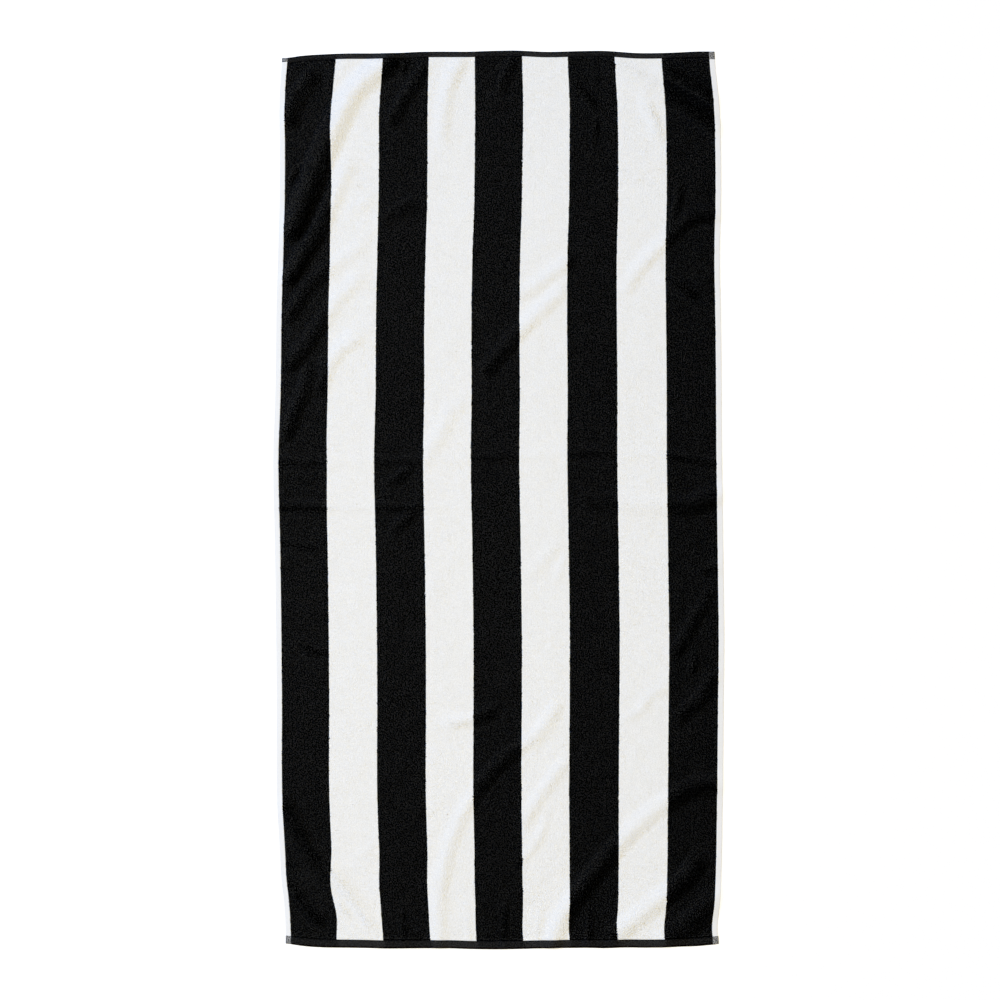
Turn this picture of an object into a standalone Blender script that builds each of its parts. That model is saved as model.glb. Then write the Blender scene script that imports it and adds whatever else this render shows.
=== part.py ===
"""Striped terry beach towel, laid out flat with the soft folds it fell into.

The towel lies on the plane z = 0 with its length along Y and its face up.  It
is one woven piece: five black and four white pile stripes run its length, a
narrow flat-woven hem closes each long side, and a turned charcoal hem closes
each end.  A flat lattice is drawn to the outline of the laid cloth, lifted
along the fold lines and given the thickness of the pile.
"""
from collections import namedtuple

import bmesh
import bpy
import numpy as np

MM = 0.001

# ---- driving dimensions, in millimetres ------------------------------------

WIDTH = 763.7                # extent of the laid towel across the stripes
LENGTH = 1520.0              # extent of the laid towel along the stripes

PILE_THICKNESS = 3.0         # looped on both faces
HEM_THICKNESS = 2.0          # flat weave, turned over
PILE_SHOULDER = 5.0          # the pile comes up to its full height beside a hem

LEFT_HEM = 9.3               # flat-woven strip outside the outer stripes
RIGHT_HEM = 10.1
TOP_HEM = 9.6                # the top hem is rolled a little out of sight
BOTTOM_HEM = 14.0

# Pile stripes from left to right, black first and then by turns.
STRIPES = (80.3, 81.6, 82.9, 80.8, 82.0, 81.3, 84.5, 83.8, 83.9)
COLUMNS_A_STRIPE = 2
ROWS = 38

FOLD_TAPER = 34.0            # a long fold fades out over this length at each end
SHORT_TAPER = 0.4            # and a short one over this share of its length
CREST_ASIDE = 2.0            # from the drawn course to the crest, on its left

# The lattice is halved where the cloth curves, in a few rounds: an edge is cut
# where the cloth stands off it by more than the slack.
HALVING_ROUNDS = 3
SLACK = 0.45
PROBES = (0.25, 0.5, 0.75)   # where along an edge that is looked at
HEM_LINES = 2                # lattice lines from an edge to the full pile
ON_LINE = 1e-4               # a place this close to a lattice line is on it

# Each edge of the laid cloth: how far it lies inside the extent above, at
# places along it measured from the middle of the towel.
Inset = namedtuple("Inset", "at depth")

LEFT_EDGE = (
    Inset(-760, 21), Inset(-732, 21), Inset(-678, 18), Inset(-644, 14),
    Inset(-593, 11), Inset(-509, 6.6), Inset(-340, 5.8), Inset(-86, 2.9),
    Inset(84, 0), Inset(168, 3.1), Inset(337, 5.7), Inset(422, 8.5),
    Inset(507, 11.5), Inset(574, 11.3), Inset(693, 10.9), Inset(760, 15.5),
)
RIGHT_EDGE = (
    Inset(-760, 8.8), Inset(-743, 9.3), Inset(-732, 10.8), Inset(-678, 7),
    Inset(-509, 2.7), Inset(-340, 1), Inset(-255, 0), Inset(-86, 1.7),
    Inset(84, 3.9), Inset(253, 4.9), Inset(335, 6.1), Inset(400, 7.3),
    Inset(456, 6.8), Inset(497, 5.6), Inset(560, 5.4), Inset(620, 6.4),
    Inset(660, 7.8), Inset(693, 10.6), Inset(727, 14.4), Inset(760, 17.1),
)
TOP_EDGE = (
    Inset(-382, 12.4), Inset(-369, 11.9), Inset(-355, 9.7), Inset(-333, 7.5),
    Inset(-313, 6.4), Inset(-293, 5.4), Inset(-261, 4.9), Inset(-227, 4.8),
    Inset(-205, 5), Inset(-177, 3.8), Inset(-144, 2.2), Inset(-112, 1.8),
    Inset(-58, 1.9), Inset(-8, 0.4), Inset(26, 0), Inset(77, 2.1),
    Inset(145, 0.8), Inset(179, 0.4), Inset(246, 4.2), Inset(314, 3.3),
    Inset(348, 1.7), Inset(382, 1.5),
)
BOTTOM_EDGE = (
    Inset(-382, 9.4), Inset(-374, 8.4), Inset(-359, 6.2), Inset(-334, 3.7),
    Inset(-313, 2.7), Inset(-272, 2.3), Inset(-240, 1.8), Inset(-208, 0.9),
    Inset(-166, 1.1), Inset(-92, 1.2), Inset(-60, 0.2), Inset(-20, -0.5),
    Inset(26, 0), Inset(77, 1.4), Inset(98, 1.8), Inset(130, 1.9),
    Inset(150, 2.2), Inset(176, 1.4), Inset(214, 2.6), Inset(257, 2.3),
    Inset(320, 4.2), Inset(341, 4.8), Inset(363, 6.6), Inset(382, 8.4),
)

# Where the stripes are pushed aside from the straight lay between the edges: the
# middle of each push, how far it goes, to the right if above 0, and how far it
# reaches across and along the cloth.
Push = namedtuple("Push", "x y aside reach_x reach_y")

PUSHES = (
    Push(-230, 750, 6.5, 170, 130),
    Push(30, 720, 5.0, 260, 210),
    Push(-270, 500, -1.6, 220, 110),
    Push(0, 290, -1.2, 420, 190),
    Push(-170, -670, -3.2, 230, 80),
    Push(300, -770, -2.6, 120, 70),
    Push(-285, 619, -1.9, 60, 80),
    Push(-300, 51, 1.7, 60, 100),
    Push(-283, -647, -3.4, 60, 66),
    Push(-283, -706, 2.6, 60, 40),
)

# The folds: how high each rises at the start and at the end of its course, how
# far it spreads on the right and on the left of its crest, and its course.  Each
# course starts at its upper or right-hand end, and some run off the cloth.
Fold = namedtuple("Fold", "name start end right left crest")

FOLDS = (
    Fold("left corner", 4.2, 6.2, 18, 28, ((-300, 737), (-327, 708), (-346, 682), (-358, 649),
                                           (-365, 618))),
    Fold("left shoulder", 8.6, 9.4, 28, 30, ((-167, 767), (-195, 740), (-248, 691), (-278, 635),
                                             (-305, 574), (-331, 510), (-365, 429))),
    Fold("left edge nick", 2.2, 2.2, 10, 11, ((-336, 569), (-346, 552), (-363, 530))),
    Fold("left second", 1.6, 8.4, 20, 22, ((-249, 591), (-277, 520), (-304, 461), (-337, 410),
                                           (-373, 354))),
    Fold("left third", 1.6, 3.8, 16, 18, ((-214, 452), (-251, 420), (-288, 393), (-326, 358),
                                          (-343, 331), (-370, 295))),
    Fold("left fourth", 2.0, 4.6, 20, 19, ((-216, 391), (-266, 349), (-302, 298), (-341, 246),
                                           (-373, 209))),
    Fold("left fifth", 3.8, 3.0, 24, 18, ((-221, 288), (-271, 253), (-299, 202), (-310, 168))),
    Fold("left sixth", 3.2, 4.2, 18, 18, ((-315, 243), (-324, 205), (-348, 148), (-368, 90))),
    Fold("first ripple", 1.6, 1.6, 14, 15, ((-205, 517), (-234, 500), (-261, 486))),
    Fold("top first", 3.8, 3.2, 16, 18, ((-112, 750), (-146, 703), (-167, 671), (-192, 622))),
    Fold("top pucker", 1.5, 1.2, 9, 9, ((-153, 755), (-160, 737), (-167, 716))),
    Fold("top second", 4.0, 2.2, 22, 16, ((-53, 760), (-79, 718), (-92, 669), (-97, 588))),
    Fold("top middle", 2.6, 1.6, 14, 16, ((33, 760), (13, 723), (4, 701), (-6, 672))),
    Fold("upper ripple", 2.3, 2.6, 16, 22, ((-129, 515), (-162, 496), (-211, 468))),
    Fold("centre wave", 1.6, 2.4, 22, 20, ((-40, 178), (-79, 155), (-97, 117), (-136, 58))),
    Fold("upper short", 2.9, 2.6, 20, 17, ((135, 417), (96, 390), (62, 364), (16, 334))),
    Fold("upper long", 3.2, 3.4, 20, 18, ((121, 369), (86, 337), (62, 314), (16, 265),
                                          (-38, 202))),
    Fold("right upper", 4.0, 2.6, 22, 16, ((395, 481), (324, 476), (282, 439), (234, 388),
                                           (204, 337))),
    Fold("right spur", 1.8, 1.8, 12, 12, ((307, 547), (300, 500), (287, 452))),
    Fold("right corner", 3.6, 5.6, 28, 22, ((175, 742), (248, 703), (327, 659), (395, 608))),
    Fold("right corner rim", 2.2, 3.6, 24, 20, ((261, 742), (324, 703), (395, 655))),
    Fold("right top", 2.6, 2.6, 20, 12, ((241, 696), (263, 635), (277, 594))),
    Fold("top right", 1.6, 1.5, 16, 14, ((119, 710), (143, 686), (172, 654))),
    Fold("right dent", 2.2, 2.2, 16, 15, ((285, 375), (314, 356), (341, 336))),
    Fold("crease right", 5.6, 0.8, 24, 22, ((417, 23), (363, 6), (321, -10), (256, -10),
                                            (121, -1))),
    Fold("crease left", 0.8, 1.8, 13, 13, ((-82, -13), (-207, -13), (-420, -11))),
    Fold("centre short", 1.8, 1.6, 20, 18, ((109, -59), (72, -103), (42, -138))),
    Fold("dark fourth", 1.9, 2.2, 14, 15, ((-143, 67), (-163, 45), (-200, 19))),
    Fold("dark short", 2.2, 2.1, 14, 15, ((-133, -8), (-158, -32), (-190, -62))),
    Fold("left ripple", 1.5, 1.3, 12, 12, ((-283, -253), (-305, -255), (-344, -236))),
    Fold("right middle", 2.1, 3.2, 17, 16, ((371, -136), (333, -196), (302, -250), (285, -274))),
    Fold("right inner", 1.2, 1.7, 12, 12, ((336, -252), (329, -274), (321, -301))),
    Fold("right lower", 2.6, 3.0, 18, 18, ((371, -279), (341, -333), (287, -377))),
    Fold("right wave", 2.2, 1.6, 13, 13, ((294, -318), (265, -323), (226, -363), (196, -375))),
    Fold("lower long", 3.0, 3.1, 19, 19, ((108, -329), (64, -395), (21, -427), (-41, -493),
                                          (-78, -565), (-99, -644), (-102, -783))),
    Fold("lower short", 1.8, 4.2, 16, 16, ((8, -348), (-23, -361), (-60, -372), (-105, -376))),
    Fold("lower second", 2.9, 2.9, 17, 19, ((124, -429), (79, -482), (50, -529), (31, -561))),
    Fold("lower third", 1.5, 1.9, 14, 12, ((84, -522), (67, -570), (40, -605), (18, -627))),
    Fold("right long", 3.6, 5.4, 23, 23, ((417, -482), (327, -487), (258, -527), (202, -581),
                                          (153, -641), (104, -707), (80, -783))),
    Fold("right low", 3.8, 5.4, 23, 24, ((351, -590), (309, -644), (255, -686), (179, -752))),
    Fold("right end", 4.6, 3.6, 26, 32, ((399, -644), (351, -685), (311, -719), (256, -762))),
    Fold("left low", 5.4, 0.6, 28, 22, ((-376, -492), (-343, -563), (-309, -617), (-260, -661),
                                        (-231, -698))),
    Fold("left low end", 2.8, 2.4, 13, 20, ((-297, -603), (-280, -630), (-260, -660),
                                            (-243, -686), (-224, -714), (-209, -738))),
    Fold("left end", 2.2, 3.2, 14, 19, ((-368, -631), (-343, -666), (-312, -707), (-295, -729))),
    Fold("corner tuck", 2.0, 1.8, 10, 10, ((-280, -669), (-265, -693), (-248, -713))),
    Fold("bottom pucker 4", 1.0, 1.6, 9, 9, ((70, -678), (65, -712), (64, -779))),
    Fold("bottom pucker 5", 1.0, 1.6, 9, 9, ((155, -678), (152, -712), (148, -779))),
)
CREST_STEPS = 6              # straight pieces between two points of a crest

# ---- colours ---------------------------------------------------------------

Finish = namedtuple("Finish", "name colour roughness")

BLACK_PILE = 0
WHITE_PILE = 1
SIDE_WEAVE = 2
END_WEAVE = 3
CORNER_WEAVE = 4

FINISHES = (
    Finish("Black pile", (0.005, 0.005, 0.005), 0.95),
    Finish("White pile", (0.84, 0.84, 0.83), 0.95),
    Finish("White side weave", (0.86, 0.86, 0.85), 0.85),
    Finish("Charcoal end weave", (0.018, 0.018, 0.018), 0.85),
    Finish("Grey corner weave", (0.24, 0.24, 0.24), 0.85),
)


def clear_scene():
    """Take out whatever the file opened with."""
    for item in list(bpy.data.objects):
        bpy.data.objects.remove(item, do_unlink=True)


def make_material(finish):
    """A matt fabric colour."""
    material = bpy.data.materials.new(finish.name)
    material.use_nodes = True
    shader = material.node_tree.nodes["Principled BSDF"]
    shader.inputs["Base Color"].default_value = (*finish.colour, 1.0)
    shader.inputs["Roughness"].default_value = finish.roughness
    shader.inputs["Metallic"].default_value = 0.0
    return material


# ---- the lattice's lines ---------------------------------------------------

def across_lines():
    """Places across the cloth: both side hems, their shoulders, the stripes."""
    lines = [0.0, LEFT_HEM, LEFT_HEM + PILE_SHOULDER]
    edge = LEFT_HEM
    for width in STRIPES:
        step = width / COLUMNS_A_STRIPE
        lines += [edge + step * count for count in range(1, COLUMNS_A_STRIPE + 1)]
        edge += width
    lines[-1:] = [edge - PILE_SHOULDER, edge, edge + RIGHT_HEM]
    return np.array(lines) / lines[-1]


def along_lines():
    """Places along the cloth, from the bottom hem to the top one."""
    first = BOTTOM_HEM + PILE_SHOULDER
    last = LENGTH - TOP_HEM - PILE_SHOULDER
    body = np.linspace(first, last, ROWS + 1)
    lines = [0.0, BOTTOM_HEM, *body, LENGTH - TOP_HEM, LENGTH]
    return np.array(lines) / LENGTH


def stripe_finish(across):
    """The finish of the cloth between the hems at a place across it."""
    edges = np.cumsum((LEFT_HEM, *STRIPES, RIGHT_HEM))
    column = int(np.searchsorted(edges, across * edges[-1]))
    if column == 0 or column == len(STRIPES) + 1:
        return SIDE_WEAVE
    return BLACK_PILE if column % 2 else WHITE_PILE


def cloth_finish(across, along):
    """The finish at a place on the cloth."""
    beside = stripe_finish(across)
    if BOTTOM_HEM < along * LENGTH < LENGTH - TOP_HEM:
        return beside
    return CORNER_WEAVE if beside == SIDE_WEAVE else END_WEAVE


# ---- the laid form ---------------------------------------------------------

def curve_between(part, span, start, end, leave, arrive):
    """A cubic over a span that leaves start and reaches end at the given slopes."""
    rest = 1.0 - part
    return (rest ** 2 * (1 + 2 * part) * start + part ** 2 * (1 + 2 * rest) * end
            + part * rest ** 2 * span * leave - part ** 2 * rest * span * arrive)


def read_edge(rows, places):
    """A smooth curve through an edge's rows, read at the given places."""
    at = np.array([row.at for row in rows], float)
    depth = np.array([row.depth for row in rows], float)
    slope = np.gradient(depth, at)
    index = np.clip(np.searchsorted(at, places) - 1, 0, len(at) - 2)
    span = at[index + 1] - at[index]
    part = np.clip((places - at[index]) / span, 0.0, 1.0)
    return curve_between(part, span, depth[index], depth[index + 1],
                         slope[index], slope[index + 1])


def push_aside(x, y):
    """Move places of the cloth sideways with its pushes."""
    for push in PUSHES:
        share = 1.0 - smooth_step(np.abs(x - push.x) / push.reach_x)
        share = share * (1.0 - smooth_step(np.abs(y - push.y) / push.reach_y))
        x = x + push.aside * share
    return x


def lay_out(across, along):
    """Draw places on the cloth to the outline in which it lies."""
    flat_x = (across - 0.5) * WIDTH
    low = -LENGTH / 2 + read_edge(BOTTOM_EDGE, flat_x)
    high = LENGTH / 2 - read_edge(TOP_EDGE, flat_x)
    y = low + along * (high - low)
    left = -WIDTH / 2 + read_edge(LEFT_EDGE, y)
    right = WIDTH / 2 - read_edge(RIGHT_EDGE, y)
    return push_aside(left + across * (right - left), y), y


def crest_course(points):
    """A smooth course through a crest's points."""
    knots = np.array(points, float)
    lengths = np.hypot(*np.diff(knots, axis=0).T)
    place = np.concatenate(([0.0], np.cumsum(lengths)))
    slope = np.gradient(knots, place, axis=0)
    part = np.linspace(0.0, 1.0, CREST_STEPS, endpoint=False)[:, None]
    course = [curve_between(part, length, knots[index], knots[index + 1],
                            slope[index], slope[index + 1])
              for index, length in enumerate(lengths)]
    return np.vstack([*course, knots[-1:]])


def nearest_on_course(course, x, y):
    """Signed distance to a course, left of it positive, and the place along it."""
    starts = course[:-1]
    steps = np.diff(course, axis=0)
    lengths = np.hypot(*steps.T)
    offset_x = x[:, None] - starts[:, 0]
    offset_y = y[:, None] - starts[:, 1]
    run = (offset_x * steps[:, 0] + offset_y * steps[:, 1]) / lengths ** 2
    run = np.clip(run, 0.0, 1.0)
    apart = np.hypot(offset_x - run * steps[:, 0], offset_y - run * steps[:, 1])
    pick = apart.argmin(axis=1)
    rows = np.arange(len(x))
    turn = steps[pick, 0] * offset_y[rows, pick] - steps[pick, 1] * offset_x[rows, pick]
    before = np.concatenate(([0.0], np.cumsum(lengths)[:-1]))
    place = before[pick] + run[rows, pick] * lengths[pick]
    return np.copysign(apart[rows, pick], turn), place, lengths.sum()


def smooth_step(value):
    """Rise smoothly from 0 to 1."""
    value = np.clip(value, 0.0, 1.0)
    return value * value * (3.0 - 2.0 * value)


def fold_lift(fold, x, y):
    """How high one fold lifts the cloth."""
    apart, place, length = nearest_on_course(crest_course(fold.crest), x, y)
    apart = apart - CREST_ASIDE
    spread = np.where(apart > 0.0, fold.left, fold.right)
    flank = 1.0 - smooth_step(np.abs(apart) / spread)
    taper = min(FOLD_TAPER, SHORT_TAPER * length)
    ends = smooth_step(place / taper) * smooth_step((length - place) / taper)
    rise = fold.start + (fold.end - fold.start) * place / length
    return rise * flank * ends


def cloth_lift(x, y):
    """How high the underside of the cloth stands off the surface."""
    return sum(fold_lift(fold, x, y) for fold in FOLDS)


# ---- the towel -------------------------------------------------------------

def place_lattice(grid):
    """Move an even unit lattice to the lines of the hems and the stripes."""
    across = across_lines()
    along = along_lines()
    for vert in grid.verts:
        column = round((vert.co.x + 0.5) * (len(across) - 1))
        row = round((vert.co.y + 0.5) * (len(along) - 1))
        vert.co.x = across[column]
        vert.co.y = along[row]


def cut_curved_edges(grid):
    """Halve each edge that the cloth stands off by more than the slack."""
    edges = list(grid.edges)
    first = np.array([edge.verts[0].co[:2] for edge in edges])
    last = np.array([edge.verts[1].co[:2] for edge in edges])
    first_lift = cloth_lift(*lay_out(*first.T))
    last_lift = cloth_lift(*lay_out(*last.T))
    apart = np.zeros(len(edges))
    for part in PROBES:
        lift = cloth_lift(*lay_out(*(first + part * (last - first)).T))
        straight = first_lift + part * (last_lift - first_lift)
        apart = np.maximum(apart, np.abs(lift - straight))
    curved = [edge for edge, gap in zip(edges, apart) if gap > SLACK]
    bmesh.ops.subdivide_edges(grid, edges=curved, cuts=1, use_grid_fill=True)


def lattice():
    """The cloth as a lattice over (0..1, 0..1), finer where it folds."""
    grid = bmesh.new()
    bmesh.ops.create_grid(grid, x_segments=len(across_lines()) - 1,
                          y_segments=len(along_lines()) - 1, size=0.5)
    place_lattice(grid)
    for _ in range(HALVING_ROUNDS):
        cut_curved_edges(grid)
    return grid


def is_pile(across, along):
    """True where the cloth has its full height of loops."""
    return all(lines[HEM_LINES] - ON_LINE < place < lines[-1 - HEM_LINES] + ON_LINE
               for lines, place in ((across_lines(), across), (along_lines(), along)))


def make_towel(collection):
    """The whole cloth as one closed sheet."""
    grid = lattice()
    places = np.array([vert.co[:2] for vert in grid.verts])
    full = [index for index, place in enumerate(places) if is_pile(*place)]
    for face in grid.faces:
        face.material_index = cloth_finish(*face.calc_center_median()[:2])
        face.smooth = True
    x, y = lay_out(*places.T)
    for vert, spot in zip(grid.verts, np.column_stack((x, y, cloth_lift(x, y)))):
        vert.co = spot * MM
    bmesh.ops.triangulate(grid, faces=grid.faces, quad_method="BEAUTY", ngon_method="BEAUTY")
    mesh = bpy.data.meshes.new("towel")
    grid.to_mesh(mesh)
    grid.free()
    for finish in FINISHES:
        mesh.materials.append(make_material(finish))
    towel = bpy.data.objects.new("towel", mesh)
    collection.objects.link(towel)
    pile = towel.vertex_groups.new(name="pile")
    pile.add(full, 1.0, "REPLACE")
    sheet = towel.modifiers.new("Cloth thickness", "SOLIDIFY")
    sheet.thickness = PILE_THICKNESS * MM
    sheet.offset = 1.0
    sheet.vertex_group = pile.name
    sheet.thickness_vertex_group = HEM_THICKNESS / PILE_THICKNESS
    return towel


def main():
    clear_scene()
    collection = bpy.data.collections.new("Beach towel")
    bpy.context.scene.collection.children.link(collection)
    make_towel(collection)


main()
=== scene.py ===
"""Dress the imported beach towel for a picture.

The laid towel is a woven ground with nine stripes of looped pile on it, two
flat-woven side hems, two turned end hems and the sewing along them.  The
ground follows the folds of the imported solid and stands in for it.  Sizes in the
tables are in millimetres on the cloth, and MM brings them to metres.
"""
import math
from collections import namedtuple

import bmesh
import bpy
import numpy as np
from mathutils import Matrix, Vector


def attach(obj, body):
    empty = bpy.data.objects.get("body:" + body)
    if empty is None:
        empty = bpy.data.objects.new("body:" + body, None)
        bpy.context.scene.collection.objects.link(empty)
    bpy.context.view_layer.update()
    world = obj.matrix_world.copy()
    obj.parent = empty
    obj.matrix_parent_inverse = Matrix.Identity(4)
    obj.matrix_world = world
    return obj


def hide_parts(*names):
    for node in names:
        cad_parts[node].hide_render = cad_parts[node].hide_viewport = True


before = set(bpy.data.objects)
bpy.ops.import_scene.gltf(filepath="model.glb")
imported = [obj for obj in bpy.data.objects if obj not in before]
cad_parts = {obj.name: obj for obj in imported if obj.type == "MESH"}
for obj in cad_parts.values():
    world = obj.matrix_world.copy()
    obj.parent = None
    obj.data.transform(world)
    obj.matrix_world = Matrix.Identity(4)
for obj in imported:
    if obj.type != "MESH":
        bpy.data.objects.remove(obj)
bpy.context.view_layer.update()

MM = 0.001

# ---- the camera: straight above the towel, as in the photograph --------------

PICTURE_SIDE = 1000          # pixels
PIXEL = 1.692 * MM           # a pixel of the picture, on the towel
CAMERA_HEIGHT = 6.0
CAMERA_X = 1.97 * MM
CAMERA_Y = -0.34 * MM
SENSOR_WIDTH = 36.0

# ---- the studio --------------------------------------------------------------

# Each round lamp: where it stands about the towel and how high, in degrees, how
# far off and how wide it is, in metres, the place it is aimed at, what it gives a
# level white surface, and whether it lights the black stripes or all the rest.
Lamp = namedtuple("Lamp", "name bearing height distance width aim level_light on_black")

LAMPS = (
    Lamp("Blue side lamp", 152, 44, 16.0, 6.4, (0, 0), (0.18, 0.28, 0.505), False),
    Lamp("Warm overhead lamp", 152, 90, 5.5, 3.0, (-3.0, -1.2), (0.685, 0.595, 0.385), False),
    Lamp("Side lamp on the black", 152, 44, 16.0, 6.4, (0, 0), (0.45, 0.45, 0.45), True),
    Lamp("Overhead lamp on the black", 152, 90, 5.5, 3.0, (-3.0, -1.2), (0.41, 0.41, 0.41), True),
)
ROOM_LIGHT = (0.185, 0.185, 0.185)
FLOOR_SIDE = 40.0
FLOOR_COLOUR = (0.93, 0.93, 0.93)
FLOOR_ROUGHNESS = 0.9
FLOOR_GLOW = 0.35
FLOOR_DROP = 0.2 * MM        # below the towel

# The print of the picture: its blacks sink a little, more so the darkest of them,
# and its whites ease off before they are full, as pairs of light in and light out.
BLACK_POINT = 0.0195
ALL_COLOURS = 3              # the curve that follows those of red, green and blue
PRINT_CURVE = (
    (0.0, 0.0), (0.0047, 0.0019), (0.0094, 0.0059), (0.0141, 0.0116), (0.0188, 0.0187),
    (0.05, 0.05), (0.50, 0.50), (0.90, 0.90), (1.00, 0.965), (1.20, 1.0),
)

# ---- the cloth's lay: the outline and the folds of its solid, and lower folds ---

WIDTH = 763.7
LENGTH = 1520.0
LEFT_HEM = 9.3
RIGHT_HEM = 10.1
TOP_HEM = 9.6
BOTTOM_HEM = 14.0
STRIPES = (80.3, 81.6, 82.9, 80.8, 82.0, 81.3, 84.5, 83.8, 83.9)
FOLD_TAPER = 34.0            # over which a long fold rises and sinks at its ends
SHORT_TAPER = 0.4            # of its length, for a short one
CREST_STEPS = 6
CREST_ASIDE = 2.0            # from the drawn course to the crest, on its left

# Each edge of the laid cloth: how far it lies inside the extent above, at places
# along it measured from the middle of the towel.
Inset = namedtuple("Inset", "at depth")

LEFT_EDGE = (
    Inset(-760, 21), Inset(-732, 21), Inset(-678, 18), Inset(-644, 14),
    Inset(-593, 11), Inset(-509, 6.6), Inset(-340, 5.8), Inset(-86, 2.9),
    Inset(84, 0), Inset(168, 3.1), Inset(337, 5.7), Inset(422, 8.5),
    Inset(507, 11.5), Inset(574, 11.3), Inset(693, 10.9), Inset(760, 15.5),
)
RIGHT_EDGE = (
    Inset(-760, 8.8), Inset(-743, 9.3), Inset(-732, 10.8), Inset(-678, 7),
    Inset(-509, 2.7), Inset(-340, 1), Inset(-255, 0), Inset(-86, 1.7),
    Inset(84, 3.9), Inset(253, 4.9), Inset(335, 6.1), Inset(400, 7.3),
    Inset(456, 6.8), Inset(497, 5.6), Inset(560, 5.4), Inset(620, 6.4),
    Inset(660, 7.8), Inset(693, 10.6), Inset(727, 14.4), Inset(760, 17.1),
)
TOP_EDGE = (
    Inset(-382, 12.4), Inset(-369, 11.9), Inset(-355, 9.7), Inset(-333, 7.5),
    Inset(-313, 6.4), Inset(-293, 5.4), Inset(-261, 4.9), Inset(-227, 4.8),
    Inset(-205, 5), Inset(-177, 3.8), Inset(-144, 2.2), Inset(-112, 1.8),
    Inset(-58, 1.9), Inset(-8, 0.4), Inset(26, 0), Inset(77, 2.1),
    Inset(145, 0.8), Inset(179, 0.4), Inset(246, 4.2), Inset(314, 3.3),
    Inset(348, 1.7), Inset(382, 1.5),
)
BOTTOM_EDGE = (
    Inset(-382, 9.4), Inset(-374, 8.4), Inset(-359, 6.2), Inset(-334, 3.7),
    Inset(-313, 2.7), Inset(-272, 2.3), Inset(-240, 1.8), Inset(-208, 0.9),
    Inset(-166, 1.1), Inset(-92, 1.2), Inset(-60, 0.2), Inset(-20, -0.5),
    Inset(26, 0), Inset(77, 1.4), Inset(98, 1.8), Inset(130, 1.9),
    Inset(150, 2.2), Inset(176, 1.4), Inset(214, 2.6), Inset(257, 2.3),
    Inset(320, 4.2), Inset(341, 4.8), Inset(363, 6.6), Inset(382, 8.4),
)

# Where the stripes are pushed aside from the straight lay between the edges: the
# middle of each push, how far it goes, to the right if above 0, and how far it
# reaches across and along the cloth.
Push = namedtuple("Push", "x y aside reach_x reach_y")

PUSHES = (
    Push(-230, 750, 6.5, 170, 130),
    Push(30, 720, 5.0, 260, 210),
    Push(-270, 500, -1.6, 220, 110),
    Push(0, 290, -1.2, 420, 190),
    Push(-170, -670, -3.2, 230, 80),
    Push(300, -770, -2.6, 120, 70),
    Push(-285, 619, -1.9, 60, 80),
    Push(-300, 51, 1.7, 60, 100),
    Push(-283, -647, -3.4, 60, 66),
    Push(-283, -706, 2.6, 60, 40),
)

# The folds: how high each rises at the start and at the end of its course, how
# far it spreads on the right and on the left of its crest, seen along the course,
# and the course itself, which starts at its upper or right-hand end.  Those that
# stay below 1.5 mm are not in the solid.
Fold = namedtuple("Fold", "name start end right left crest")

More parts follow.
